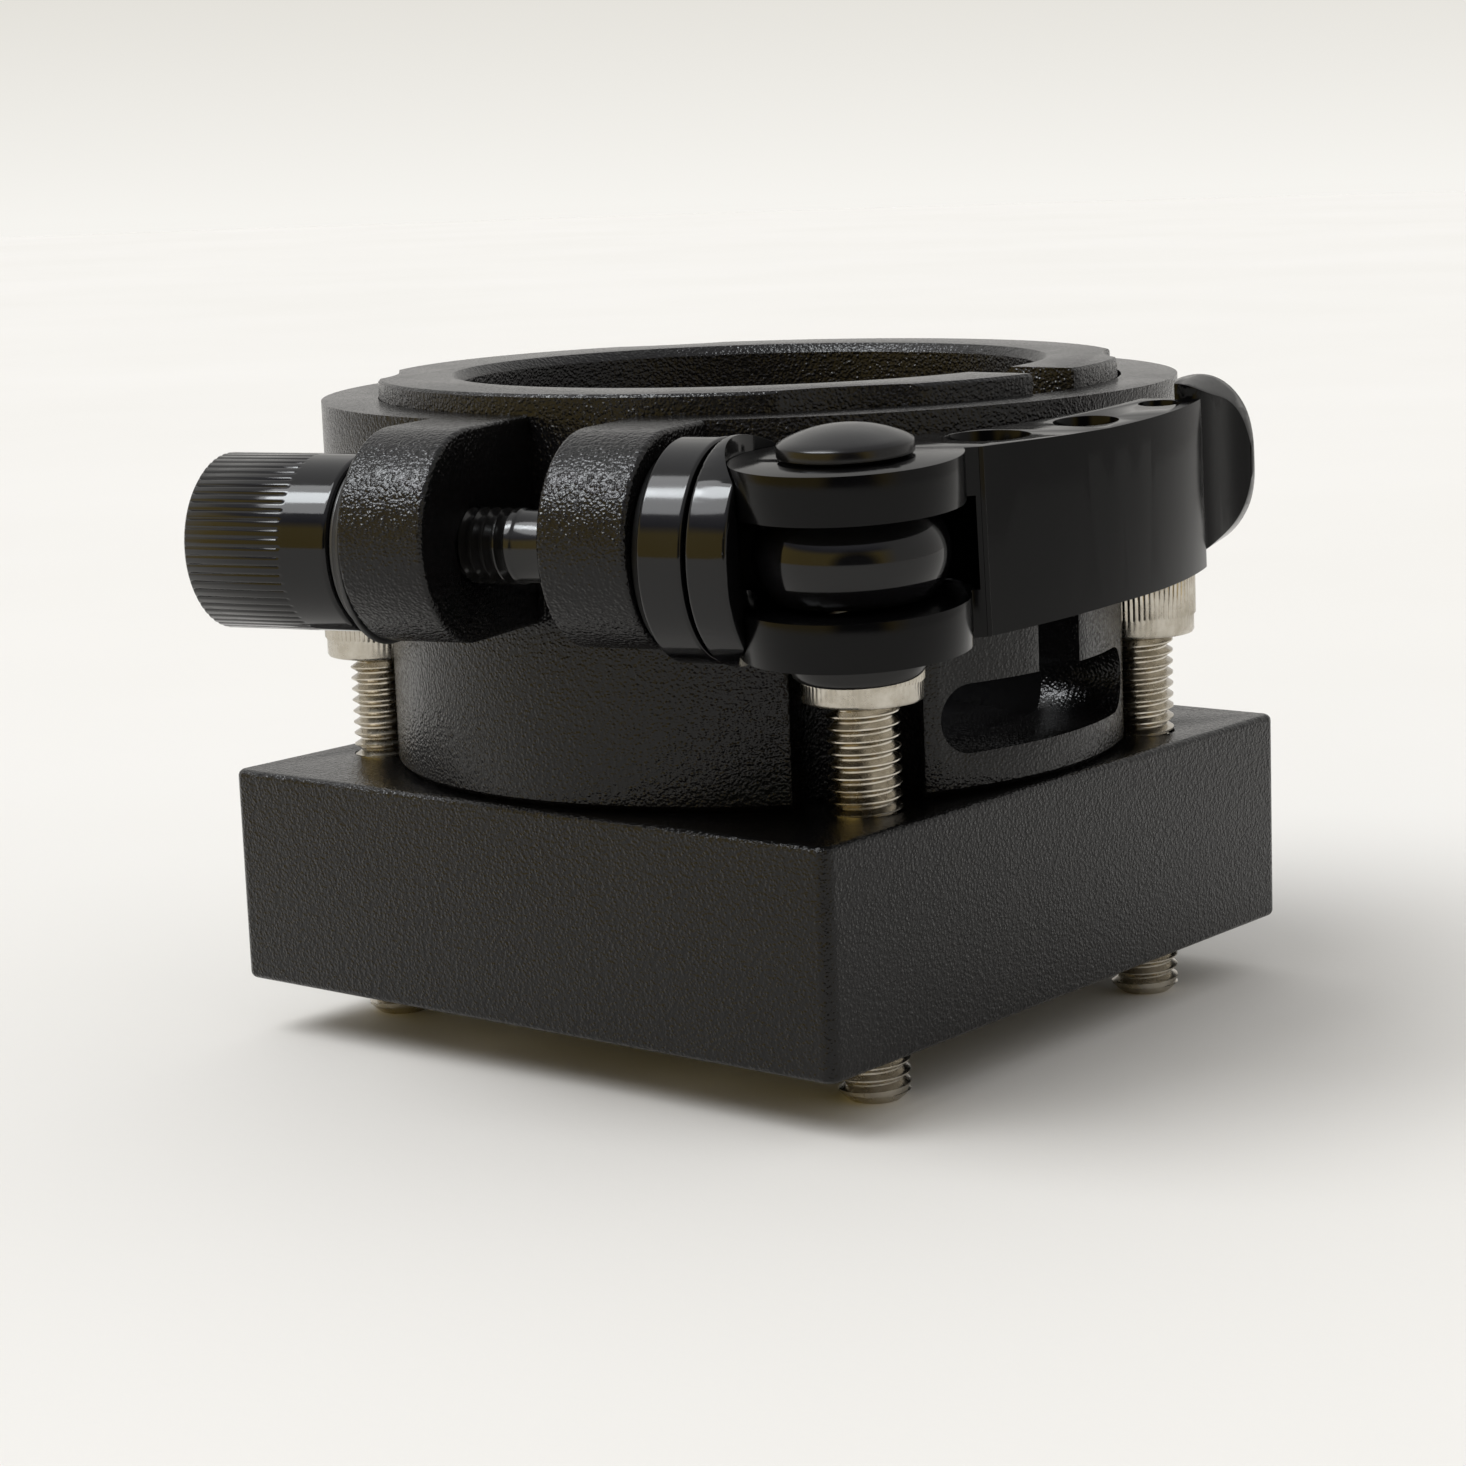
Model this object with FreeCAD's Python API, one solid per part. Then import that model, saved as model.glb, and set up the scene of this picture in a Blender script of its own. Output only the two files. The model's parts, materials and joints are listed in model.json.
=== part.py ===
import FreeCAD, Part
import math
import os

# Quick-release collar clamp on a square foot block. All sizes in millimetres.
# Frame: +Z up along the collar axis, Z = 0 on the underside of the foot block,
# X and Y parallel to the sides of the block.

os.makedirs("parts", exist_ok=True)

V = FreeCAD.Vector
UP = V(0, 0, 1)
ORIGIN = V(0, 0, 0)

# ---- foot block
BLOCK_SIDE = 67.0
BLOCK_HEIGHT = 19.0
BLOCK_CORNER_ROUND = 1.2
BLOCK_EDGE_ROUND = 0.6

# ---- four jacking screws through the block (M6, knurled socket heads)
SCREW_X = 27.3
SCREW_Y = 20.3
THREAD_R = 3.0
THREAD_PITCH = 1.0
THREAD_DEPTH = 0.55
THREAD_FIT = 0.05
SCREW_TIP_Z = -5.0
SCREW_TIP_R = 2.8
SCREW_TIP_CHAMFER = 0.5
HEAD_UNDERSIDE_Z = 28.0
HEAD_HEIGHT = 6.0
HEAD_R = 5.1
HEAD_PLAIN_BAND = 1.6
HEAD_PLAIN_R = 4.95
SOCKET_ACROSS_FLATS = 5.0
SOCKET_DEPTH = 3.0

# ---- hub standing on the block
HUB_R = 32.7
HUB_TOP_Z = 53.0
HUB_BORE_R = 25.5
HUB_MOUTH_CHAMFER = 0.8
HUB_FOOT_CHAMFER = 0.6
HUB_TOP_EDGE = 0.25
RIM_SCOOP_DEPTH = 1.4
RIM_SCOOP_CHORD = 11.8
POCKET_R = 6.1
POCKET_TOP_Z = 37.5
POCKET_AXIS_OUT = 0.4
SLIT_WIDTH = 6.0
SLIT_ANGLE = 0.0
SLOT_BOTTOM_Z = 22.4
SLOT_TOP_Z = 28.2
SLOT_HALF_ANGLE = 24.0

# ---- screws holding the hub from below
HUB_SCREW_COUNT = 4
HUB_SCREW_PCD_R = 28.9
HUB_SCREW_FIRST_ANGLE = 65.0
HUB_SCREW_SHANK_R = 2.0
HUB_SCREW_HEAD_R = 3.7
HUB_SCREW_HEAD_DEPTH = 2.2
HUB_SCREW_HEAD_FIT = 0.25
HUB_SCREW_REACH = 8.0
HUB_SCREW_SOCKET_AF = 2.5

# ---- split band with two round ears; the clamp frame has X along the draw bolt
BAND_ANGLE = 15.0
BAND_RUNNING_FIT = 0.08
BAND_OUTER_R = 37.7
BAND_BOTTOM_Z = 34.3
BAND_TOP_Z = 51.3
GAP_HALF = 4.9
EAR_OUTER = 12.4
EAR_ROUND_R = 8.5
EAR_EDGE_ROUND = 0.4
BOLT_Y = -42.0
BOLT_Z = 42.0
BOLT_HOLE_FIT = 0.08
SPOT_FACE_RIGHT_R = 9.15
SPOT_FACE_LEFT_R = 8.35

# ---- draw bolt, eye barrel, washers and adjuster knob, stations along the bolt
BOLT_R = 3.0
BOLT_SHANK_R = 2.85
BOLT_LEFT_END = -25.0
BOLT_THREAD_END = -0.6
EAR_WASHER_LEFT = 12.45
EAR_WASHER_RIGHT = 13.25
EAR_WASHER_R = 7.6
RING_LEFT = 13.35
RING_RIGHT = 17.05
RING_R = 8.65
SEAT_LEFT = 17.4
SEAT_RIGHT = 20.8
SEAT_R = 8.8
WASHER_EDGE = 0.35
KNOB_LEFT = -27.6
KNOB_RIGHT = -14.2
KNOB_R = 7.1
KNOB_FLUTED_TO = -18.4
KNOB_FLUTES = 60
KNOB_FLUTE_DEPTH = 0.35
KNOB_END_CHAMFER = 0.5
CONE_WASHER_LEFT = -14.1
CONE_WASHER_RIGHT = -12.45
CONE_WASHER_R_LEFT = 6.9
CONE_WASHER_R_RIGHT = 8.0

# ---- cam lever on its pivot pin; rolled about the draw bolt as it hangs
LEVER_ROLL = 4.0
PIVOT_X = 27.1
PIVOT_EAR_R = 8.85
CAM_CLEARANCE = 0.12
LEVER_HALF_HEIGHT = 7.3
ARM_HALF_HEIGHT = 6.9
FORK_HALF_GAP = 3.6
BARREL_R = 7.5
BARREL_HALF_HEIGHT = 3.15
BARREL_EDGE_ROUND = 1.5
FORK_GAP_R = 9.6
PIN_R = 2.5
PIN_FIT = 0.05
CAP_R = 5.2
CAP_SIDE_HEIGHT = 1.2
CAP_HEIGHT = 2.5
CAP_LOWER_HEIGHT = 2.2
ARM_INNER_R = 41.8
ARM_START_ANGLE = -46.0
ARM_INNER_END_ANGLE = -9.0
ARM_END_Y = -8.6
ARM_END_ROUND = 3.0
ARM_TAPER_FROM_Y = -38.0
ARM_TAPER_TO_Y = -26.0
ARM_OUTER = [(-46.0, 51.5), (-38.0, 50.4), (-30.0, 49.5), (-22.0, 48.3), (-14.0, 46.6)]
ARM_HOLES = [(-42.0, 46.0, 3.3), (-30.0, 45.4, 2.6), (-18.0, 44.6, 1.65)]
TAB_FRONT = [(43.2, -12.0), (45.4, -10.6), (46.1, -8.4), (47.2, -6.4)]
TAB_TIP = (47.75, -5.3)
TAB_BACK = [(46.9, -4.6), (44.6, -5.6), (42.4, -8.4)]
TAB_ROOT_X = 43.2
TAB_HALF_HEIGHT = 7.2
TAB_RISE = 1.0


def along(axis, shape, place):
    """Turns a shape built along +Z so that +Z points along axis, then moves it to place."""
    turn = FreeCAD.Rotation(UP, axis)
    result = shape.copy()
    result.Placement = FreeCAD.Placement(place, turn).multiply(result.Placement)
    return result


def rod(radius, low, high):
    return Part.makeCylinder(radius, high - low, V(0, 0, low))


def turned(profile):
    """A solid of revolution about Z from a list of (radius, height) corners."""
    points = [V(r, 0, z) for r, z in profile]
    points.append(points[0])
    face = Part.Face(Part.makePolygon(points))
    return face.revolve(ORIGIN, UP, 360)


def prism(points, low, high):
    corners = [V(x, y, low) for x, y in points]
    corners.append(corners[0])
    return Part.Face(Part.makePolygon(corners)).extrude(V(0, 0, high - low))


def polar(radius, degrees):
    return radius * math.cos(math.radians(degrees)), radius * math.sin(math.radians(degrees))


def hexagon(across_flats, low, high):
    radius = across_flats / math.sqrt(3.0)
    return prism([polar(radius, 60.0 * i) for i in range(6)], low, high)


def grooved(low, high, pitch, crest, depth):
    """Profile corners of a grooved rod between two heights, from low to high."""
    corners = [(crest, low)]
    count = int((high - low) / pitch)
    start = low + (high - low - count * pitch) / 2.0
    for i in range(count):
        z = start + i * pitch
        corners.append((crest, z + 0.06 * pitch))
        corners.append((crest - depth, z + 0.44 * pitch))
        corners.append((crest - depth, z + 0.56 * pitch))
        corners.append((crest, z + 0.94 * pitch))
    corners.append((crest, high))
    return corners


def edges_on_plane(shape, axis, value, tolerance=0.01):
    """Edges lying wholly on the plane axis = value."""
    chosen = []
    for edge in shape.Edges:
        box = edge.BoundBox
        low = getattr(box, axis + "Min")
        high = getattr(box, axis + "Max")
        if abs(low - value) < tolerance and abs(high - value) < tolerance:
            chosen.append(edge)
    return chosen


def to_clamp(shape):
    """From the clamp frame to the frame of the whole object."""
    result = shape.copy()
    result.rotate(ORIGIN, UP, BAND_ANGLE)
    return result


def to_lever(shape):
    """From the lever's own level frame to the frame of the whole object."""
    result = shape.copy()
    result.rotate(V(0, BOLT_Y, BOLT_Z), V(1, 0, 0), LEVER_ROLL)
    return to_clamp(result)


def save(name, shape):
    if len(shape.Solids) == 1:
        shape = shape.Solids[0]
    shape.exportStep("parts/" + name + ".step")


SCREW_PLACES = {
    "front": (SCREW_X, -SCREW_Y),
    "left": (-SCREW_X, -SCREW_Y),
    "right": (SCREW_X, SCREW_Y),
    "rear": (-SCREW_X, SCREW_Y),
}
HUB_SCREW_PLACES = []
for sign_x in (1, -1):
    for sign_y in (1, -1):
        x, y = polar(HUB_SCREW_PCD_R, HUB_SCREW_FIRST_ANGLE)
        HUB_SCREW_PLACES.append((sign_x * x, sign_y * y))


# ---- foot block: rounded square, tapped through for the jacking screws
half = BLOCK_SIDE / 2.0
block = Part.makeBox(BLOCK_SIDE, BLOCK_SIDE, BLOCK_HEIGHT, V(-half, -half, 0))
upright = [e for e in block.Edges if e.BoundBox.ZLength > BLOCK_HEIGHT - 0.1]
block = block.makeFillet(BLOCK_CORNER_ROUND, upright)
rims = edges_on_plane(block, "Z", BLOCK_HEIGHT) + edges_on_plane(block, "Z", 0)
block = block.makeFillet(BLOCK_EDGE_ROUND, rims)
for x, y in SCREW_PLACES.values():
    hole = rod(THREAD_R + THREAD_FIT, -1, BLOCK_HEIGHT + 1)
    hole.translate(V(x, y, 0))
    block = block.cut(hole)
for x, y in HUB_SCREW_PLACES:
    shank = rod(HUB_SCREW_SHANK_R, -1, BLOCK_HEIGHT + 1)
    cone = Part.makeCone(HUB_SCREW_HEAD_R, HUB_SCREW_SHANK_R, HUB_SCREW_HEAD_DEPTH)
    seat = shank.fuse(cone)
    seat.translate(V(x, y, 0))
    block = block.cut(seat)
save("foot_block", block)

# ---- jacking screws: one knurled socket-head screw at each corner of the pattern
profile = [(0, SCREW_TIP_Z), (SCREW_TIP_R - SCREW_TIP_CHAMFER, SCREW_TIP_Z)]
profile.append((SCREW_TIP_R, SCREW_TIP_Z + SCREW_TIP_CHAMFER))
profile += [(SCREW_TIP_R, -0.1), (THREAD_R, 0.1)]
profile += grooved(BLOCK_HEIGHT, HEAD_UNDERSIDE_Z, THREAD_PITCH, THREAD_R, THREAD_DEPTH)
profile.append((HEAD_PLAIN_R - 0.3, HEAD_UNDERSIDE_Z))
profile.append((HEAD_PLAIN_R, HEAD_UNDERSIDE_Z + 0.3))
profile.append((HEAD_PLAIN_R, HEAD_UNDERSIDE_Z + HEAD_PLAIN_BAND))
profile.append((HEAD_R, HEAD_UNDERSIDE_Z + HEAD_PLAIN_BAND + 0.2))
profile.append((HEAD_R, HEAD_UNDERSIDE_Z + HEAD_HEIGHT - 0.4))
profile.append((HEAD_R - 0.4, HEAD_UNDERSIDE_Z + HEAD_HEIGHT))
profile.append((0, HEAD_UNDERSIDE_Z + HEAD_HEIGHT))
screw = turned(profile)
socket_floor = HEAD_UNDERSIDE_Z + HEAD_HEIGHT - SOCKET_DEPTH
screw = screw.cut(hexagon(SOCKET_ACROSS_FLATS, socket_floor, HEAD_UNDERSIDE_Z + HEAD_HEIGHT + 1))
for name, (x, y) in SCREW_PLACES.items():
    placed = screw.copy()
    placed.translate(V(x, y, 0))
    save("jack_screw_" + name, placed)

# ---- hub: thick tube with a chamfered mouth, screw pockets, slit and cross slot
hub = rod(HUB_R, BLOCK_HEIGHT, HUB_TOP_Z)
hub = hub.makeChamfer(HUB_FOOT_CHAMFER, edges_on_plane(hub, "Z", BLOCK_HEIGHT))
hub = hub.makeChamfer(HUB_TOP_EDGE, edges_on_plane(hub, "Z", HUB_TOP_Z))
hub = hub.cut(rod(HUB_BORE_R, BLOCK_HEIGHT - 1, HUB_TOP_Z + 1))
mouth = Part.makeCone(HUB_BORE_R, HUB_BORE_R + 2 * HUB_MOUTH_CHAMFER, 2 * HUB_MOUTH_CHAMFER)
mouth.translate(V(0, 0, HUB_TOP_Z - HUB_MOUTH_CHAMFER))
hub = hub.cut(mouth)
half_chord = RIM_SCOOP_CHORD / 2.0
chord_out = math.sqrt(HUB_R ** 2 - half_chord ** 2)
scoop_sag = RIM_SCOOP_DEPTH - (HUB_R - chord_out)
scoop_r = (half_chord ** 2 + scoop_sag ** 2) / (2.0 * scoop_sag)
scoop_out = HUB_R - RIM_SCOOP_DEPTH + scoop_r
for x, y in SCREW_PLACES.values():
    reach = math.hypot(x, y)
    scoop = rod(scoop_r, BLOCK_HEIGHT - 1, HUB_TOP_Z + 1)
    scoop.translate(V(x * scoop_out / reach, y * scoop_out / reach, 0))
    hub = hub.cut(scoop)
    pocket = rod(POCKET_R, BLOCK_HEIGHT - 1, POCKET_TOP_Z)
    pocket_out = (reach + POCKET_AXIS_OUT) / reach
    pocket.translate(V(x * pocket_out, y * pocket_out, 0))
    hub = hub.cut(pocket)
slit_height = HUB_TOP_Z - SLOT_TOP_Z + 4
slit = Part.makeBox(HUB_R + 4, SLIT_WIDTH, slit_height, V(0, -SLIT_WIDTH / 2.0, SLOT_TOP_Z - 2))
slit.rotate(ORIGIN, UP, SLIT_ANGLE)
hub = hub.cut(slit)
slot_height = SLOT_TOP_Z - SLOT_BOTTOM_Z
slot_z = (SLOT_TOP_Z + SLOT_BOTTOM_Z) / 2.0
slot_end_turn = math.degrees(slot_height / 2.0 / HUB_R)
sweep = 2.0 * (SLOT_HALF_ANGLE - slot_end_turn)
wedge = Part.makeCylinder(HUB_R + 5, slot_height, V(0, 0, SLOT_BOTTOM_Z), UP, sweep)
wedge.rotate(ORIGIN, UP, SLIT_ANGLE - sweep / 2.0)
hub = hub.cut(wedge)
for side in (-1, 1):
    x, y = polar(1.0, SLIT_ANGLE + side * sweep / 2.0)
    end = Part.makeCylinder(slot_height / 2.0, HUB_R + 5, V(0, 0, slot_z), V(x, y, 0))
    hub = hub.cut(end)
for x, y in HUB_SCREW_PLACES:
    tapping = rod(HUB_SCREW_SHANK_R, BLOCK_HEIGHT - 1, BLOCK_HEIGHT + HUB_SCREW_REACH + 1)
    tapping.translate(V(x, y, 0))
    hub = hub.cut(tapping)
save("hub", hub)

# ---- countersunk screws that hold the hub on the block, driven from below
fixings = []
for x, y in HUB_SCREW_PLACES:
    shank = rod(HUB_SCREW_SHANK_R, 0.2, BLOCK_HEIGHT + HUB_SCREW_REACH)
    head_r = HUB_SCREW_HEAD_R - HUB_SCREW_HEAD_FIT
    cone = Part.makeCone(head_r, HUB_SCREW_SHANK_R, HUB_SCREW_HEAD_DEPTH - HUB_SCREW_HEAD_FIT, V(0, 0, 0.2))
    fixing = shank.fuse(cone).cut(hexagon(HUB_SCREW_SOCKET_AF, -1, 1.6))
    fixing = fixing.removeSplitter()
    fixing.translate(V(x, y, 0))
    fixings.append(fixing)
save("hub_fixing_screws", Part.makeCompound(fixings))

# ---- split band with its two ears
band_r = HUB_R + BAND_RUNNING_FIT
band = rod(BAND_OUTER_R, BAND_BOTTOM_Z, BAND_TOP_Z)
ear_z = (BAND_TOP_Z + BAND_BOTTOM_Z) / 2.0
band_height = BAND_TOP_Z - BAND_BOTTOM_Z
ear_block = Part.makeBox(2 * EAR_OUTER, 16.0, band_height, V(-EAR_OUTER, BOLT_Y, BAND_BOTTOM_Z))
ear_round = Part.makeCylinder(EAR_ROUND_R, 2 * EAR_OUTER, V(-EAR_OUTER, BOLT_Y, ear_z), V(1, 0, 0))
ears = ear_block.fuse(ear_round).removeSplitter()
band = band.fuse(ears).removeSplitter()
band = band.cut(rod(band_r, BAND_BOTTOM_Z - 1, BAND_TOP_Z + 1))
gap = Part.makeBox(2 * GAP_HALF, 60, band_height + 2, V(-GAP_HALF, -70, BAND_BOTTOM_Z - 1))
band = band.cut(gap)
rounded = []
for edge in band.Edges:
    box = edge.BoundBox
    at_side = abs(abs(box.XMin) - EAR_OUTER) < 0.01 and box.XLength < 0.01
    at_gap = abs(abs(box.XMin) - GAP_HALF) < 0.01 and box.XLength < 0.01
    if (at_side or at_gap) and box.YMin < BOLT_Y - 1:
        rounded.append(edge)
band = band.makeFillet(EAR_EDGE_ROUND, rounded)
hole = Part.makeCylinder(BOLT_R + BOLT_HOLE_FIT, 40, V(-20, BOLT_Y, BOLT_Z), V(1, 0, 0))
band = band.cut(hole)
# Spot faces that give the round pieces on the bolt room beside the ring of the band.
right_face = Part.makeCylinder(SPOT_FACE_RIGHT_R, 20, V(EAR_OUTER, BOLT_Y, BOLT_Z), V(1, 0, 0))
left_face = Part.makeCylinder(SPOT_FACE_LEFT_R, 20, V(-EAR_OUTER, BOLT_Y, BOLT_Z), V(-1, 0, 0))
band = band.cut(right_face).cut(left_face)
save("clamp_band", to_clamp(band))

# ---- pieces threaded on the draw bolt, each built along Z and laid along the bolt
BOLT_AXIS = V(1, 0, 0)
BOLT_PLACE = V(0, BOLT_Y, BOLT_Z)


def on_bolt(shape):
    return to_clamp(along(BOLT_AXIS, shape, BOLT_PLACE))


def washer(radius, low, high, bore):
    body = rod(radius, low, high)
    body = body.makeFillet(WASHER_EDGE, edges_on_plane(body, "Z", low) + edges_on_plane(body, "Z", high))
    return body.cut(rod(bore, low - 1, high + 1))


profile = [(0, BOLT_LEFT_END), (BOLT_R - 0.5, BOLT_LEFT_END), (BOLT_R, BOLT_LEFT_END + 0.5)]
profile += grooved(-GAP_HALF - 0.2, BOLT_THREAD_END, THREAD_PITCH, BOLT_R, THREAD_DEPTH)
profile.append((BOLT_SHANK_R, BOLT_THREAD_END + 0.3))
profile.append((BOLT_SHANK_R, GAP_HALF - 0.1))
profile.append((BOLT_R, GAP_HALF))
bolt_right_end = PIVOT_X - 4.2
profile.append((BOLT_R, bolt_right_end))
profile.append((0, bolt_right_end))
save("draw_bolt", on_bolt(turned(profile)))

bore = BOLT_R + BOLT_HOLE_FIT
ear_washer = rod(EAR_WASHER_R, EAR_WASHER_LEFT, EAR_WASHER_RIGHT)
ear_washer = ear_washer.cut(rod(bore, EAR_WASHER_LEFT - 1, EAR_WASHER_RIGHT + 1))
save("ear_washer", on_bolt(ear_washer))
save("thrust_ring", on_bolt(washer(RING_R, RING_LEFT, RING_RIGHT, bore)))

# Cam seat: a washer hollowed on its right face by the round ears of the lever.
seat = washer(SEAT_R, SEAT_LEFT, SEAT_RIGHT, BOLT_R)
seat = along(BOLT_AXIS, seat, BOLT_PLACE)
cam = Part.makeCylinder(PIVOT_EAR_R + CAM_CLEARANCE, 40, V(PIVOT_X, BOLT_Y, BOLT_Z - 20))
seat = seat.cut(cam)
save("cam_seat", to_lever(seat))

# Cone washer between the adjuster knob and the left ear.
profile = [(bore, CONE_WASHER_LEFT), (CONE_WASHER_R_LEFT, CONE_WASHER_LEFT)]
profile.append((CONE_WASHER_R_RIGHT, CONE_WASHER_RIGHT - 0.5))
profile.append((CONE_WASHER_R_RIGHT, CONE_WASHER_RIGHT))
profile.append((bore, CONE_WASHER_RIGHT))
save("cone_washer", on_bolt(turned(profile)))

# Adjuster knob: plain collar towards the ear, straight flutes over the outer part.
collar = rod(KNOB_R, KNOB_FLUTED_TO, KNOB_RIGHT)
collar = collar.makeFillet(0.3, edges_on_plane(collar, "Z", KNOB_RIGHT))
star = []
for i in range(2 * KNOB_FLUTES):
    radius = KNOB_R - (i % 2) * KNOB_FLUTE_DEPTH
    star.append(polar(radius, 180.0 * i / KNOB_FLUTES))
fluted = prism(star, KNOB_LEFT, KNOB_FLUTED_TO)
trim = [(0, KNOB_LEFT), (KNOB_R - KNOB_END_CHAMFER, KNOB_LEFT)]
trim += [(KNOB_R + 0.1, KNOB_LEFT + KNOB_END_CHAMFER), (KNOB_R + 0.1, KNOB_FLUTED_TO), (0, KNOB_FLUTED_TO)]
fluted = fluted.common(turned(trim))
knob = collar.fuse(fluted)
knob = knob.cut(rod(BOLT_R + THREAD_FIT, KNOB_LEFT - 1, KNOB_RIGHT + 1))
save("adjuster_knob", on_bolt(knob))

# ---- eye barrel on the end of the bolt, lying between the lever's ears
barrel_foot = V(PIVOT_X, BOLT_Y, BOLT_Z - BARREL_HALF_HEIGHT)
barrel = Part.makeCylinder(BARREL_R, 2 * BARREL_HALF_HEIGHT, barrel_foot)
barrel = barrel.makeFillet(BARREL_EDGE_ROUND, [e for e in barrel.Edges if e.BoundBox.ZLength < 0.01])
stem = Part.makeCylinder(BOLT_R, 6, V(PIVOT_X - 10, BOLT_Y, BOLT_Z), V(1, 0, 0))
pin_hole = Part.makeCylinder(PIN_R + PIN_FIT, 20, V(PIVOT_X, BOLT_Y, BOLT_Z - 10))
barrel = barrel.cut(stem).cut(pin_hole)
save("eye_barrel", to_lever(barrel))

# ---- cam lever: two round ears, a tapering arm round the band and a thumb tab
inner_points = []
for i in range(7):
    angle = ARM_START_ANGLE + (ARM_INNER_END_ANGLE - ARM_START_ANGLE) * i / 6.0
    inner_points.append(V(*polar(ARM_INNER_R, angle), 0))
outer_points = [V(*polar(r, a), 0) for a, r in ARM_OUTER]
inner = Part.BSplineCurve()
inner.interpolate(inner_points)
outer = Part.BSplineCurve()
outer.interpolate(outer_points)
arm_end = Part.makeLine(inner_points[-1], outer_points[-1])
arm_start = Part.makeLine(outer_points[0], inner_points[0])
outline = Part.Wire([inner.toShape(), arm_end, outer.toShape(), arm_start])
arm = Part.Face(outline).extrude(V(0, 0, 2 * LEVER_HALF_HEIGHT))
arm.translate(V(0, 0, BOLT_Z - LEVER_HALF_HEIGHT))
# Side outline of the whole lever: full height at the ears, slightly less along the
# arm, with rounded corners at the far end.
side = [(-60, LEVER_HALF_HEIGHT), (ARM_TAPER_FROM_Y, LEVER_HALF_HEIGHT)]
side += [(ARM_TAPER_TO_Y, ARM_HALF_HEIGHT), (ARM_END_Y, ARM_HALF_HEIGHT)]
side += [(y, -z) for y, z in reversed(side)]
side.append(side[0])
outline = Part.makePolygon([V(0, y, BOLT_Z + z) for y, z in side])
level = Part.Face(outline).extrude(V(80, 0, 0))
corners = [e for e in edges_on_plane(level, "Y", ARM_END_Y) if e.BoundBox.XLength > 1]
level = level.makeFillet(ARM_END_ROUND, corners)
# Thumb tab: a thin lip curling outward, with a half-round outline.
front = Part.BSplineCurve()
front.interpolate([V(x, y, 0) for x, y in TAB_FRONT])
back = Part.BSplineCurve()
back.interpolate([V(x, y, 0) for x, y in TAB_BACK])
lip = Part.Arc(V(*TAB_FRONT[-1], 0), V(*TAB_TIP, 0), V(*TAB_BACK[0], 0)).toShape()
root = Part.makeLine(V(*TAB_BACK[-1], 0), V(*TAB_FRONT[0], 0))
tab = Part.Face(Part.Wire([front.toShape(), lip, back.toShape(), root])).extrude(V(0, 0, 30))
tab.translate(V(0, 0, BOLT_Z - 15))
tab_z = BOLT_Z + TAB_RISE
oval_top = V(TAB_ROOT_X, 0, tab_z + TAB_HALF_HEIGHT)
oval = Part.Ellipse(oval_top, V(TAB_TIP[0], 0, tab_z), V(TAB_ROOT_X, 0, tab_z))
oval = Part.Face(Part.Wire([oval.toShape()])).extrude(V(0, -60, 0))
tab = tab.common(oval)
# Round ears with a web running back to the arm.
fork_foot = V(PIVOT_X, BOLT_Y, BOLT_Z - LEVER_HALF_HEIGHT)
fork = Part.makeCylinder(PIVOT_EAR_R, 2 * LEVER_HALF_HEIGHT, fork_foot)
web = [(PIVOT_X, BOLT_Y), (PIVOT_X + 7.3, BOLT_Y + 4.1), (34.9, -37.5)]
web += [polar(ARM_OUTER[0][1], ARM_START_ANGLE + 0.4), polar(ARM_INNER_R + 4.0, ARM_START_ANGLE + 6.0)]
web += [polar(ARM_INNER_R - 1.0, ARM_START_ANGLE + 4.0), polar(ARM_INNER_R - 1.0, ARM_START_ANGLE - 5.0)]
web += [(PIVOT_X - 1.5, BOLT_Y + PIVOT_EAR_R - 0.3)]
web = prism(web, BOLT_Z - LEVER_HALF_HEIGHT, BOLT_Z + LEVER_HALF_HEIGHT)
fork_gap_foot = V(PIVOT_X, BOLT_Y, BOLT_Z - FORK_HALF_GAP)
fork_gap = Part.makeCylinder(FORK_GAP_R, 2 * FORK_HALF_GAP, fork_gap_foot)
lever = arm.fuse(fork).fuse(web).removeSplitter()
lever = lever.common(level).fuse(tab)
lever = lever.cut(rod(ARM_INNER_R - 0.01, 0, 100)).cut(fork_gap)
for angle, radius, hole_r in ARM_HOLES:
    x, y = polar(radius, angle)
    lever = lever.cut(Part.makeCylinder(hole_r, 40, V(x, y, BOLT_Z - 20)))
lever = lever.cut(Part.makeCylinder(PIN_R, 40, V(PIVOT_X, BOLT_Y, BOLT_Z - 20)))
save("cam_lever", to_lever(lever))

# ---- pivot pin with a domed cap above and a flat cap below
cap_base = LEVER_HALF_HEIGHT
pin = Part.makeCylinder(PIN_R, 2 * cap_base, V(PIVOT_X, BOLT_Y, BOLT_Z - cap_base))
save("pivot_pin", to_lever(pin))
dome_sag = CAP_HEIGHT - CAP_SIDE_HEIGHT
dome_r = (CAP_R ** 2 + dome_sag ** 2) / (2.0 * dome_sag)
dome_rim = cap_base + CAP_SIDE_HEIGHT
profile = [(0, cap_base), (CAP_R - 0.25, cap_base), (CAP_R, cap_base + 0.35), (CAP_R, dome_rim)]
dome_steps = 8
for i in range(1, dome_steps):
    r = CAP_R * (1.0 - i / dome_steps)
    profile.append((r, dome_rim + dome_sag - dome_r + math.sqrt(dome_r ** 2 - r ** 2)))
profile.append((0, dome_rim + dome_sag))
cap = turned(profile)
cap.translate(V(PIVOT_X, BOLT_Y, BOLT_Z))
save("pin_cap_upper", to_lever(cap))
lower_face = -cap_base - CAP_LOWER_HEIGHT
profile = [(0, -cap_base), (0, lower_face), (CAP_R - 1.0, lower_face), (CAP_R - 0.3, lower_face + 0.5)]
profile += [(CAP_R, lower_face + 1.2), (CAP_R, -cap_base - 0.4), (CAP_R - 0.3, -cap_base)]
cap = turned(profile)
cap.translate(V(PIVOT_X, BOLT_Y, BOLT_Z))
save("pin_cap_lower", to_lever(cap))
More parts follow.
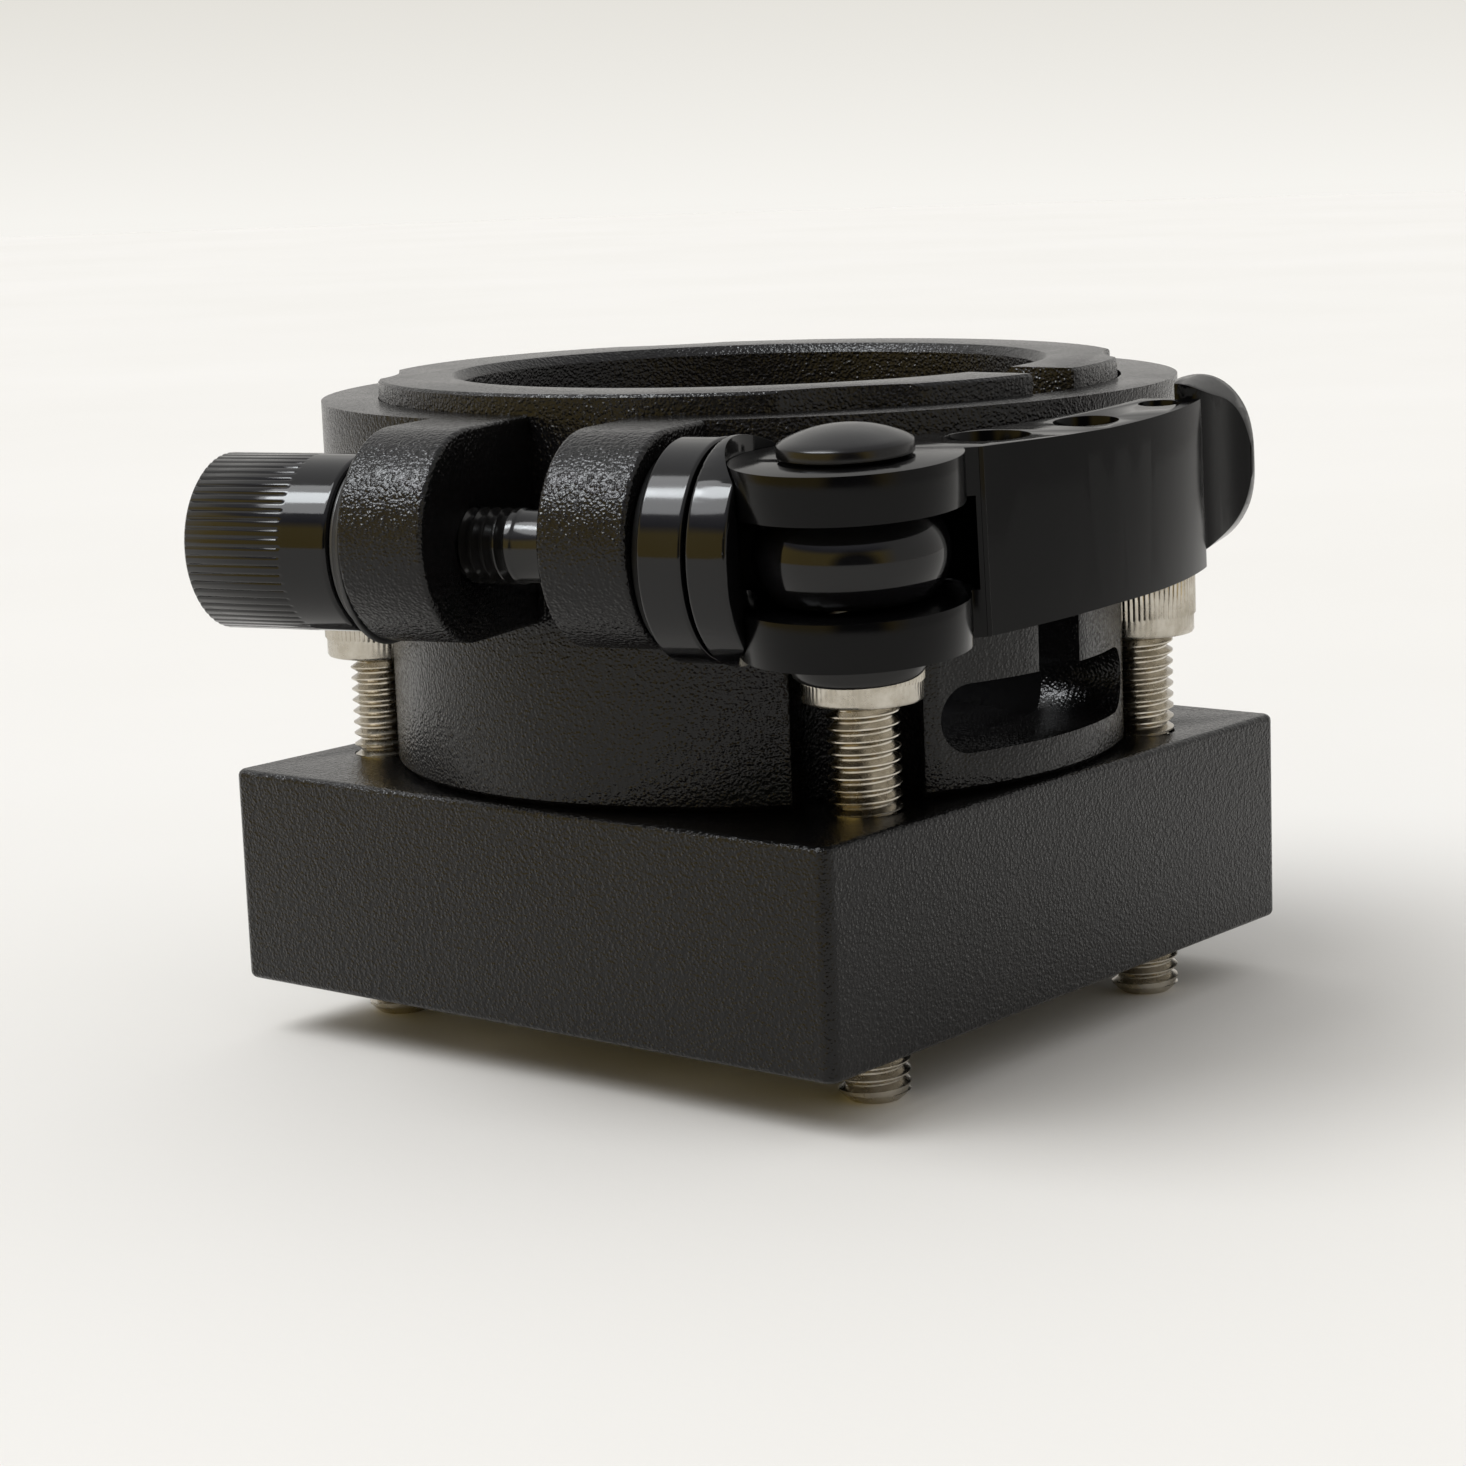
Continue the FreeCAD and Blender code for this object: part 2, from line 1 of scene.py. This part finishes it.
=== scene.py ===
import json
import math

import bmesh
import bpy
from mathutils import Matrix, Vector


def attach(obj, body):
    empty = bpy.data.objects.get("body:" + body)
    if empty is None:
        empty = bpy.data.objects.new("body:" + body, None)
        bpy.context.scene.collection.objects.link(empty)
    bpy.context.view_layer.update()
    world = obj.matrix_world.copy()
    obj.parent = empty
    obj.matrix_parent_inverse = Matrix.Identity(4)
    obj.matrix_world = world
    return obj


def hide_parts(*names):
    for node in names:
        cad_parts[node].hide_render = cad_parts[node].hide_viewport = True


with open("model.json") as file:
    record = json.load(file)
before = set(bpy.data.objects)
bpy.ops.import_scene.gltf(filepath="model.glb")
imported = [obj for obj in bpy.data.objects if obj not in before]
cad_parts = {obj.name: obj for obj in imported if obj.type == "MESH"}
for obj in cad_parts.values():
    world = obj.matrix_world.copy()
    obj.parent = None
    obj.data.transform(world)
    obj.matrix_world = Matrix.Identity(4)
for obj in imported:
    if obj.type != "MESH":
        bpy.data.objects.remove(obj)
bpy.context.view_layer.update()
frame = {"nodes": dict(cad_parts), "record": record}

NODES = frame["nodes"]
MM = 0.001

# ---------------------------------------------------------------- sizes shared with the CAD frame, mm
BAND_ANGLE = 15.0
BOLT_Y = -42.0
BOLT_Z = 42.0
LEVER_ROLL = 4.0
PIVOT_X = 27.1
SCREW_PLACES = {"front": (27.3, -20.3), "left": (-27.3, -20.3), "right": (27.3, 20.3), "rear": (-27.3, 20.3)}
THREAD_R = 3.0
THREAD_PITCH = 1.0
THREAD_DEPTH = 0.58
SCREW_TIP_Z = -5.0
HEAD_UNDERSIDE_Z = 28.0
HEAD_HEIGHT = 6.0
HEAD_R = 5.1
HEAD_PLAIN_R = 4.95
HEAD_PLAIN_BAND = 1.6
SOCKET_AF = 5.0
SOCKET_DEPTH = 3.0
KNURLS = 66
KNOB_LEFT = -27.6
KNOB_RIGHT = -14.2
KNOB_R = 7.1
KNOB_FLUTED_TO = -18.4
KNOB_FLUTES = 60
KNOB_BORE_R = 3.05
BOLT_LEFT_END = -25.0
BOLT_RIGHT_END = 22.9
BOLT_SHANK_R = 2.86
BARREL_R = 7.5
BARREL_HALF_HEIGHT = 3.15
BARREL_CROWN_R = 4.2
CAP_R = 5.2
CAP_SIDE_HEIGHT = 1.2
CAP_HEIGHT = 2.5
CAP_LOWER_HEIGHT = 2.2
LEVER_HALF_HEIGHT = 7.3
BORE_R = 3.08
PIN_BORE_R = 2.55

# ---------------------------------------------------------------- camera, at the viewing angle of the work
CAMERA_PLACE = Vector((191.2, -230.2, 73.4)) * MM
CAMERA_HEADING = 127.71
CAMERA_DOWN = 10.24
CAMERA_ROLL = -1.77
CAMERA_LENS = 82.54
CAMERA_SHIFT = -0.1


# ---------------------------------------------------------------- node helpers
def material(name, base, rough, metal=0.0, **inputs):
    m = bpy.data.materials.new(name)
    m.use_nodes = True
    shader = m.node_tree.nodes["Principled BSDF"]
    shader.inputs["Base Color"].default_value = (*base, 1.0)
    shader.inputs["Roughness"].default_value = rough
    shader.inputs["Metallic"].default_value = metal
    for key, value in inputs.items():
        shader.inputs[key.replace("_", " ")].default_value = value
    return m, m.node_tree, shader


def node(tree, kind, **settings):
    n = tree.nodes.new(kind)
    for key, value in settings.items():
        if key in n.inputs:
            n.inputs[key].default_value = value
        else:
            setattr(n, key, value)
    return n


def position(tree):
    return node(tree, "ShaderNodeTexCoord").outputs["Object"]


def noise(tree, where, scale, detail=2.0, rough=0.5):
    n = node(tree, "ShaderNodeTexNoise", Scale=scale, Detail=detail, Roughness=rough)
    tree.links.new(where, n.inputs["Vector"])
    return n.outputs["Fac"]


def ramp(tree, source, low, high, from_min=0.3, from_max=0.7):
    n = node(tree, "ShaderNodeMapRange")
    n.inputs["From Min"].default_value = from_min
    n.inputs["From Max"].default_value = from_max
    n.inputs["To Min"].default_value = low
    n.inputs["To Max"].default_value = high
    tree.links.new(source, n.inputs["Value"])
    return n.outputs["Result"]


def mix_colour(tree, factor, a, b):
    n = node(tree, "ShaderNodeMix", data_type="RGBA")
    n.inputs[6].default_value = (*a, 1.0)
    n.inputs[7].default_value = (*b, 1.0)
    tree.links.new(factor, n.inputs["Factor"])
    return n.outputs[2]


def add(tree, a, b):
    n = node(tree, "ShaderNodeMath", operation="ADD")
    tree.links.new(a, n.inputs[0])
    tree.links.new(b, n.inputs[1])
    return n.outputs["Value"]


def bump(tree, shader, height, distance, strength=1.0):
    n = node(tree, "ShaderNodeBump")
    n.inputs["Strength"].default_value = strength
    n.inputs["Distance"].default_value = distance
    tree.links.new(height, n.inputs["Height"])
    tree.links.new(n.outputs["Normal"], shader.inputs["Normal"])


def powder_coat():
    """Satin black powder coat: a pebbled skin of small rounded bumps over a faint larger wave."""
    m, tree, shader = material("powder_coat", (0.004, 0.0038, 0.004), 0.3, Specular_IOR_Level=0.27)
    where = position(tree)
    cells = node(tree, "ShaderNodeTexVoronoi", feature="SMOOTH_F1", Scale=3200.0, Smoothness=0.3)
    tree.links.new(where, cells.inputs["Vector"])
    pebble = ramp(tree, cells.outputs["Distance"], 1.0, 0.0, 0.05, 0.6)
    swell = ramp(tree, noise(tree, where, 2700.0, 2.0, 0.5), 0.0, 0.9)
    cloud = noise(tree, where, 120.0, 3.0)
    tree.links.new(ramp(tree, cloud, 0.18, 0.24), shader.inputs["Roughness"])
    shade_range = mix_colour(tree, ramp(tree, cloud, 0, 1), (0.003, 0.0028, 0.003), (0.005, 0.0048, 0.005))
    tree.links.new(shade_range, shader.inputs["Base Color"])
    bump(tree, shader, add(tree, pebble, swell), 0.000048)
    return m


def gloss_black(name, base, rough, gleam=0.3, ripple=0.000003):
    """Polished black anodising with smears that change the gloss and a very fine ripple."""
    m, tree, shader = material(name, base, rough, Specular_IOR_Level=gleam)
    where = position(tree)
    smear = noise(tree, where, 160.0, 4.0, 0.6)
    tree.links.new(ramp(tree, smear, rough * 0.75, rough * 1.4), shader.inputs["Roughness"])
    tint = mix_colour(tree, ramp(tree, smear, 0, 1), tuple(0.8 * c for c in base), tuple(1.2 * c for c in base))
    tree.links.new(tint, shader.inputs["Base Color"])
    bump(tree, shader, noise(tree, where, 900.0, 3.0), ripple)
    return m


def stainless(name, light, dark, low, high):
    """Machined stainless steel: warm bright metal with dull patches and a fine tooth."""
    m, tree, shader = material(name, light, low, 1.0)
    where = position(tree)
    stain = noise(tree, where, 520.0, 4.0, 0.6)
    tree.links.new(ramp(tree, stain, low, high), shader.inputs["Roughness"])
    tree.links.new(mix_colour(tree, ramp(tree, stain, 0, 1), light, dark), shader.inputs["Base Color"])
    bump(tree, shader, noise(tree, where, 3200.0, 2.0), 0.000006)
    return m


FINISH = {
    "powder_coat": powder_coat(),
    "stainless": stainless("stainless", (0.58, 0.545, 0.48), (0.4, 0.365, 0.3), 0.16, 0.34),
    "black_anodised": gloss_black("black_anodised", (0.003, 0.003, 0.0034), 0.08, 0.34),
    "lever_anodised": gloss_black("lever_anodised", (0.0015, 0.0015, 0.0017), 0.14, 0.15),
    "pin_cap": gloss_black("pin_cap", (0.004, 0.0038, 0.004), 0.2, 0.34),
    "black_bolt": gloss_black("black_bolt", (0.006, 0.0058, 0.0056), 0.13, 0.4),
    "cone_washer": gloss_black("cone_washer", (0.02, 0.02, 0.021), 0.4, 0.6),
    "ear_washer": gloss_black("ear_washer", (0.002, 0.002, 0.002), 0.5, 0.2),
    "pin_steel": stainless("pin_steel", (0.5, 0.49, 0.47), (0.36, 0.35, 0.33), 0.25, 0.4),
}
SLOT_OF = {row["node"]: row["material_slot"] for row in frame["record"]["subparts"]}
for name, piece in NODES.items():
    piece.data.materials.clear()
    piece.data.materials.append(FINISH[SLOT_OF[name]])


# ---------------------------------------------------------------- mesh helpers
CLAMP = Matrix.Rotation(math.radians(BAND_ANGLE), 4, "Z")
ON_BOLT = CLAMP @ Matrix.Translation((0, BOLT_Y, BOLT_Z)) @ Matrix.Rotation(math.radians(90), 4, "Y")


def add_object(name, data, body, slot_name, covers):
    """Links a finished mesh as a piece that stands for CAD nodes and rides on their body."""
    piece = bpy.data.objects.new(name, data)
    bpy.context.scene.collection.objects.link(piece)
    data.materials.clear()
    data.materials.append(FINISH[slot_name])
    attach(piece, body)
    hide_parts(*covers)
    return piece


def shade(data, degrees):
    """Smooth faces, with the edges sharper than the given angle kept sharp."""
    for poly in data.polygons:
        poly.use_smooth = True
    data.set_sharp_from_angle(angle=math.radians(degrees))


def lathe(name, rings, sides, place, sharp=38.0, bored=False):
    """A closed skin through rings of (height, radius), where both may be functions of the turn.
    A third value tells how many rings further on a helical ring carries on after a full turn.
    The end rings are closed by a centre point, or joined to each other to leave a through bore."""
    mesh = bmesh.new()
    loops = []
    for ring in rings:
        loop = []
        for i in range(sides):
            turn = 2 * math.pi * i / sides
            z = ring[0](turn) if callable(ring[0]) else ring[0]
            r = ring[1](turn, z) if callable(ring[1]) else ring[1]
            point = Vector((r * math.cos(turn), r * math.sin(turn), z))
            loop.append(mesh.verts.new((place @ point) * MM))
        loops.append(loop)
    last = len(rings) - 1

    def after(row, i):
        if i + 1 < sides:
            return loops[row][i + 1]
        carry_on = rings[row][2] if len(rings[row]) > 2 else row
        return loops[carry_on][0]

    for low in range(last + 1 if bored else last):
        high = (low + 1) % (last + 1)
        for i in range(sides):
            corners = [loops[low][i], after(low, i), after(high, i), loops[high][i]]
            if len(set(corners)) == 4:
                mesh.faces.new(corners)
    if not bored:
        for loop, height, order in ((loops[0], rings[0][0], -1), (loops[-1], rings[-1][0], 1)):
            centre = mesh.verts.new((place @ Vector((0, 0, height))) * MM)
            for i in range(sides):
                pair = (loop[i], loop[(i + 1) % sides])
                mesh.faces.new((*pair[::order], centre))
    bmesh.ops.remove_doubles(mesh, verts=mesh.verts, dist=1e-7)
    bmesh.ops.recalc_face_normals(mesh, faces=mesh.faces)
    data = bpy.data.meshes.new(name)
    mesh.to_mesh(data)
    mesh.free()
    shade(data, sharp)
    return data


# the thread's section over one pitch: root flat, flank, crest flat, flank
THREAD_SECTION = [(0.0, 1.0), (0.07, 1.0), (0.44, 0.0), (0.56, 0.0), (0.93, 1.0)]


def thread(first, crest, depth, pitch, low, high, fade_low=0.5, fade_high=0.5):
    """Helical rings of a right-hand thread between two heights; first is the number of rings before it.
    The thread fades out towards an end over the given length; zero keeps it at full depth there."""
    rings = []
    turns = int(math.ceil((high - low) / pitch)) + 1
    count = turns * len(THREAD_SECTION)
    for k in range(count + 1):
        lap, step = divmod(k, len(THREAD_SECTION))
        place, cut = THREAD_SECTION[step]
        start = low - pitch + (lap + place) * pitch

        def height(turn, start=start):
            return min(max(start + pitch * turn / (2 * math.pi), low), high)

        def radius(turn, z, cut=cut):
            fade = min(1.0, (z - low) / fade_low, (high - z) / fade_high)
            return crest - depth * cut * max(0.0, fade)

        carry_on = first + min(k + len(THREAD_SECTION), count)
        rings.append((height, radius, carry_on))
    return rings


def hexagon(across_flats, spare=0.0):
    def radius(turn, height):
        sector = math.radians(60)
        return across_flats / 2.0 / math.cos((turn % sector) - sector / 2.0) + spare
    return radius


def ridged(outer, depth, count, sharpness=1.0):
    """Radius of a straight knurl or flute: rounded ridges with grooves between them."""
    def radius(turn, height):
        wave = 0.5 + 0.5 * math.cos(count * turn)
        return outer - depth * (1.0 - wave ** sharpness)
    return radius


def edge(height, radius, fillet, up, points=5):
    """Rings that round an outer edge over from the side wall to the end face; up is 1 or -1.
    A last side ring just before the rounding keeps the wall's shading straight."""
    rings = [(height - up * (fillet + 0.05), radius)]
    for i in range(points + 1):
        a = math.radians(90 * i / points)
        rings.append((height - up * fillet * (1 - math.sin(a)), radius - fillet * (1 - math.cos(a))))
    rings.append((height, radius - fillet - 0.05))
    return rings


# ---------------------------------------------------------------- jacking screws: helical thread, knurled head, hexagon socket
def jack_screw(name, x, y):
    sides = 6 * KNURLS
    place = Matrix.Translation((x, y, 0))
    rings = [(SCREW_TIP_Z, THREAD_R - 0.8), (SCREW_TIP_Z + 0.4, THREAD_R - 0.35)]
    rings += thread(len(rings), THREAD_R, THREAD_DEPTH, THREAD_PITCH, SCREW_TIP_Z + 0.75, HEAD_UNDERSIDE_Z)
    knurl = ridged(HEAD_R, 0.14, KNURLS, 0.6)
    band_top = HEAD_UNDERSIDE_Z + HEAD_PLAIN_BAND
    top = HEAD_UNDERSIDE_Z + HEAD_HEIGHT
    rings += [(HEAD_UNDERSIDE_Z, HEAD_PLAIN_R - 0.35), (HEAD_UNDERSIDE_Z + 0.08, HEAD_PLAIN_R - 0.12)]
    rings += [(HEAD_UNDERSIDE_Z + 0.3, HEAD_PLAIN_R), (band_top, HEAD_PLAIN_R), (band_top + 0.2, knurl)]
    rings += [(top - 0.45, knurl), (top - 0.2, HEAD_R - 0.25), (top, HEAD_R - 0.5)]
    rings += [(top, hexagon(SOCKET_AF, 0.15)), (top - 0.15, hexagon(SOCKET_AF)), (top - SOCKET_DEPTH, hexagon(SOCKET_AF))]
    data = lathe("screw_" + name, rings, sides, place)
    return add_object("screw_" + name, data, "screw_" + name, "stainless", ["jack_screw_" + name])


for name, (x, y) in SCREW_PLACES.items():
    jack_screw(name, x, y)


# ---------------------------------------------------------------- adjuster knob: rolled flutes and a polished collar
def knob():
    def flute(turn, height):
        # the flutes run out in a short ramp where the collar begins
        fade = min(1.0, max(0.0, (KNOB_FLUTED_TO - height) / 0.4))
        away = abs((KNOB_FLUTES * turn / (2 * math.pi)) % 1.0 - 0.5) * 2.0
        hollow = max(0.0, 1.0 - away / 0.5) ** 1.5
        return KNOB_R - 0.02 - 0.1 * fade * hollow

    plain = KNOB_R - 0.02
    rings = [(KNOB_RIGHT, KNOB_BORE_R)] + edge(KNOB_RIGHT, plain, 0.45, 1)[::-1]
    rings += [(KNOB_FLUTED_TO + 0.12, plain), (KNOB_FLUTED_TO + 0.06, plain)]
    rings += [(KNOB_FLUTED_TO - 0.1 * i, flute) for i in range(5)]
    rings += [(KNOB_LEFT + 0.5, flute), (KNOB_LEFT + 0.2, KNOB_R - 0.35), (KNOB_LEFT, KNOB_R - 0.75)]
    rings += [(KNOB_LEFT, 5.2), (KNOB_LEFT + 0.5, 4.7), (KNOB_LEFT + 0.5, KNOB_BORE_R)]
    data = lathe("knob", rings, 8 * KNOB_FLUTES, ON_BOLT, 50.0, bored=True)
    return add_object("knob", data, "knob", "black_anodised", ["adjuster_knob"])


knob()


# ---------------------------------------------------------------- draw bolt: rolled thread between the ears, then a plain shank
def draw_bolt():
    cut_from, cut_to = -14.0, -0.5
    rings = [(BOLT_LEFT_END, THREAD_R - 0.5), (BOLT_LEFT_END + 0.5, THREAD_R)]
    rings += thread(len(rings), THREAD_R, THREAD_DEPTH, THREAD_PITCH, cut_from, cut_to, 0.7, 0.9)
    rings += [(cut_to + 0.15, THREAD_R - 0.05), (cut_to + 0.35, BOLT_SHANK_R)]
    rings += [(4.7, BOLT_SHANK_R), (4.9, THREAD_R), (BOLT_RIGHT_END, THREAD_R)]
    data = lathe("bolt", rings, 96, ON_BOLT)
    return add_object("bolt", data, "bolt", "black_bolt", ["draw_bolt"])


draw_bolt()


# ---------------------------------------------------------------- round pieces on the draw bolt
def turned_washer(name, body, slot_name, covers, left, right, radius_left, radius_right, fillet):
    """A washer with rounded outer edges; a cone where its two radii differ."""
    outer = edge(right, radius_right, fillet, 1)[::-1] + edge(left, radius_left, fillet, -1)
    data = lathe(name, [(right, BORE_R)] + outer + [(left, BORE_R)], 192, ON_BOLT, bored=True)
    return add_object(name, data, body, slot_name, covers)


turned_washer("ring", "ring", "black_anodised", ["thrust_ring"], 13.35, 17.05, 8.65, 8.65, 0.3)
turned_washer("slip_washer", "washer", "ear_washer", ["ear_washer"], 12.45, 13.25, 7.6, 7.6, 0.1)
turned_washer("cone", "cone", "cone_washer", ["cone_washer"], -14.1, -12.45, 6.9, 8.0, 0.25)


# ---------------------------------------------------------------- eye barrel and pin caps, on the pivot's axis
ON_PIVOT = CLAMP @ Matrix.Translation((0, BOLT_Y, BOLT_Z)) @ Matrix.Rotation(math.radians(LEVER_ROLL), 4, "X")
ON_PIVOT = ON_PIVOT @ Matrix.Translation((PIVOT_X, 0, 0))


def eye_barrel():
    """A crowned drum between the lever's ears."""
    rings = [(-BARREL_HALF_HEIGHT, PIN_BORE_R)]
    count = 20
    for i in range(count + 1):
        z = BARREL_HALF_HEIGHT * (2 * i / count - 1)
        rings.append((z, BARREL_R - BARREL_CROWN_R + math.sqrt(BARREL_CROWN_R ** 2 - z ** 2)))
    rings.append((BARREL_HALF_HEIGHT, PIN_BORE_R))
    data = lathe("barrel", rings, 144, ON_PIVOT, bored=True)
    return add_object("barrel", data, "bolt", "black_anodised", ["eye_barrel"])


def upper_cap():
    """A domed cap with a short straight side."""
    foot = LEVER_HALF_HEIGHT
    rim = foot + CAP_SIDE_HEIGHT
    sag = CAP_HEIGHT - CAP_SIDE_HEIGHT
    dome_r = (CAP_R ** 2 + sag ** 2) / (2.0 * sag)
    rings = [(foot, CAP_R - 0.3), (foot + 0.3, CAP_R), (rim - 0.12, CAP_R), (rim, CAP_R - 0.08)]
    count = 16
    for i in range(1, count):
        r = (CAP_R - 0.2) * (1 - i / count)
        rings.append((rim + sag - dome_r + math.sqrt(dome_r ** 2 - r ** 2), r))
    data = lathe("cap_upper", rings, 144, ON_PIVOT)
    return add_object("cap_upper", data, "lever", "pin_cap", ["pin_cap_upper"])


def lower_cap():
    """A flat cap with a large rounded edge."""
    foot = -LEVER_HALF_HEIGHT
    face = foot - CAP_LOWER_HEIGHT
    rings = [(foot, CAP_R - 0.3), (foot - 0.3, CAP_R)] + edge(face, CAP_R, 1.0, -1, 8)
    data = lathe("cap_lower", rings, 144, ON_PIVOT)
    return add_object("cap_lower", data, "lever", "pin_cap", ["pin_cap_lower"])


eye_barrel()
upper_cap()
lower_cap()


# ---------------------------------------------------------------- machined pieces: the CAD shape with its edges broken
def softened(name, cad, body, width, segments=2, corner=32.0, sharp=30.0):
    """A copy of a CAD node with its sharp edges rounded to the given width."""
    mesh = bmesh.new()
    mesh.from_mesh(NODES[cad].data)
    bmesh.ops.remove_doubles(mesh, verts=mesh.verts, dist=1e-6)
    bmesh.ops.dissolve_limit(mesh, angle_limit=math.radians(1.0), verts=mesh.verts, edges=mesh.edges)
    edges = [e for e in mesh.edges if e.is_manifold and e.calc_face_angle(0) > math.radians(corner)]
    bmesh.ops.bevel(
        mesh, geom=edges, offset=width * MM, segments=segments, profile=0.5, affect="EDGES", clamp_overlap=True
    )
    data = bpy.data.meshes.new(name)
    mesh.to_mesh(data)
    mesh.free()
    shade(data, sharp)
    return add_object(name, data, body, SLOT_OF[cad], [cad])


softened("block", "foot_block", "base", 0.25)
softened("hub_ring", "hub", "base", 0.3)
softened("band", "clamp_band", "band", 0.3)
softened("lever", "cam_lever", "lever", 0.35)
softened("seat", "cam_seat", "bolt", 0.25)


# ---------------------------------------------------------------- floor, light and camera
FLOOR_RADIUS = 3.0
PALE_WALL = (0.72, 0.70, 0.67)
FLOOR_GLOW = (0.925, 0.91, 0.87)
HAZE_TOP = (0.76, 0.74, 0.69)
CEILING = (0.7, 0.7, 0.71)


def floor():
    """A pale paper floor reaching out to the pale wall of the room."""
    mesh = bmesh.new()
    bmesh.ops.create_circle(mesh, cap_ends=True, segments=96, radius=FLOOR_RADIUS)
    data = bpy.data.meshes.new("floor")
    mesh.to_mesh(data)
    mesh.free()
    m, tree, shader = material("floor_paper", (0.80, 0.785, 0.765), 0.8, Specular_IOR_Level=0.15)
    where = position(tree)
    patches = ramp(tree, noise(tree, where, 6.0, 4.0), 0, 1)
    tree.links.new(mix_colour(tree, patches, (0.785, 0.775, 0.745), (0.81, 0.80, 0.775)), shader.inputs["Base Color"])
    bump(tree, shader, noise(tree, where, 900.0, 3.0), 0.00002)
    data.materials.append(m)
    sheet = bpy.data.objects.new("floor", data)
    bpy.context.scene.collection.objects.link(sheet)
    sheet.location.z = SCREW_TIP_Z * MM


def soft_sun(name, heading, elevation, spread, strength, colour=(1, 1, 1)):
    """A wide soft light from a heading and elevation in degrees; spread is its width in degrees."""
    data = bpy.data.lights.new(name, "SUN")
    data.energy = strength
    data.angle = math.radians(spread)
    data.color = colour
    lamp = bpy.data.objects.new(name, data)
    bpy.context.scene.collection.objects.link(lamp)
    a, e = math.radians(heading), math.radians(elevation)
    away = Vector((math.cos(e) * math.cos(a), math.cos(e) * math.sin(a), math.sin(e)))
    lamp.location = away
    lamp.rotation_euler = (-away).to_track_quat("-Z", "Y").to_euler()
    return lamp


def toward(tree, way, heading, low, high):
    """How far a direction points towards a heading: 0 below the cosine low, 1 above high."""
    a = math.radians(heading)
    n = node(tree, "ShaderNodeVectorMath", operation="DOT_PRODUCT")
    n.inputs[1].default_value = (math.cos(a), math.sin(a), 0.0)
    tree.links.new(way, n.inputs[0])
    return ramp(tree, n.outputs["Value"], 0.0, 1.0, low, high)


def by_height(tree, height, stops):
    """A colour that changes with the upward part of a direction."""
    n = node(tree, "ShaderNodeValToRGB")
    tree.links.new(height, n.inputs["Fac"])
    marks = n.color_ramp.elements
    while len(marks) < len(stops):
        marks.new(0.5)
    for mark, (place, colour) in zip(marks, stops):
        mark.position = place
        mark.color = (*colour, 1.0)
    return n.outputs["Color"]


def blend(tree, factor, a, b):
    n = node(tree, "ShaderNodeMix", data_type="RGBA")
    tree.links.new(factor, n.inputs["Factor"])
    tree.links.new(a, n.inputs[6])
    tree.links.new(b, n.inputs[7])
    return n.outputs[2]


def room():
    """Soft light all round: pale walls, a dim ceiling, a warm wooden wall in front and a dark patch
    in it where somebody stands at the work. The camera itself sees only the pale wall."""
    world = bpy.data.worlds.new("studio")
    bpy.context.scene.world = world
    world.use_nodes = True
    tree = world.node_tree
    way = node(tree, "ShaderNodeTexCoord").outputs["Generated"]
    parts = node(tree, "ShaderNodeSeparateXYZ")
    tree.links.new(way, parts.inputs["Vector"])
    height = parts.outputs["Z"]
    pale = by_height(tree, height, [(0.0, PALE_WALL), (0.55, (0.72, 0.71, 0.69)), (0.9, CEILING)])
    warm_stops = [(0.0, (0.9, 0.66, 0.2)), (0.34, (0.95, 0.72, 0.24)), (0.46, (0.3, 0.3, 0.36))]
    warm_stops += [(0.62, (0.6, 0.6, 0.66)), (1.0, CEILING)]
    warm = by_height(tree, height, warm_stops)
    dark = by_height(tree, height, [(0.0, (0.05, 0.05, 0.055)), (0.5, (0.05, 0.05, 0.055)), (0.8, CEILING)])
    around = blend(tree, toward(tree, way, CAMERA_HEADING + 150, 0.1, 0.45), pale, warm)
    around = blend(tree, toward(tree, way, CAMERA_HEADING + 184, 0.84, 0.95), around, dark)
    sky = tree.nodes["Background"]
    tree.links.new(around, sky.inputs["Color"])
    seen = node(tree, "ShaderNodeBackground", Strength=1.0)
    haze = mix_colour(tree, ramp(tree, height, 0.0, 1.0, -0.02, 0.05), FLOOR_GLOW, HAZE_TOP)
    tree.links.new(haze, seen.inputs["Color"])
    choose = node(tree, "ShaderNodeMixShader")
    tree.links.new(node(tree, "ShaderNodeLightPath").outputs["Is Camera Ray"], choose.inputs["Fac"])
    tree.links.new(sky.outputs["Background"], choose.inputs[1])
    tree.links.new(seen.outputs["Background"], choose.inputs[2])
    tree.links.new(choose.outputs["Shader"], tree.nodes["World Output"].inputs["Surface"])


def camera():
    data = bpy.data.cameras.new("camera")
    data.sensor_fit = "HORIZONTAL"
    data.sensor_width = 36.0
    data.lens = CAMERA_LENS
    data.shift_x = CAMERA_SHIFT
    data.clip_start = 0.01
    data.clip_end = 20.0
    eye = bpy.data.objects.new("camera", data)
    bpy.context.scene.collection.objects.link(eye)
    turn = Matrix.Rotation(math.radians(CAMERA_HEADING - 90), 4, "Z")
    tip = Matrix.Rotation(math.radians(90 - CAMERA_DOWN), 4, "X")
    roll = Matrix.Rotation(math.radians(CAMERA_ROLL), 4, "Z")
    eye.matrix_world = Matrix.Translation(CAMERA_PLACE) @ turn @ tip @ roll
    bpy.context.scene.camera = eye


floor()
room()
camera()
soft_sun("window", CAMERA_HEADING + 112, 56.0, 40.0, 1.85, (0.98, 0.99, 1.0))
soft_sun("back", CAMERA_HEADING + 20, 52.0, 60.0, 0.1, (1.0, 0.995, 0.98))
# three lamps side by side make one long soft highlight along every round piece on the bolt;
# they give gloss only, so that the window alone sets the shadows
for glint, heading, elevation in (("near", 131, 63.0), ("middle", 112, 58.0), ("far", 99, 50.0)):
    lamp = soft_sun("glint_" + glint, CAMERA_HEADING + heading, elevation, 13.0, 0.6, (0.92, 0.97, 1.0))
    lamp.visible_diffuse = False
bpy.context.scene.view_settings.view_transform = "Standard"
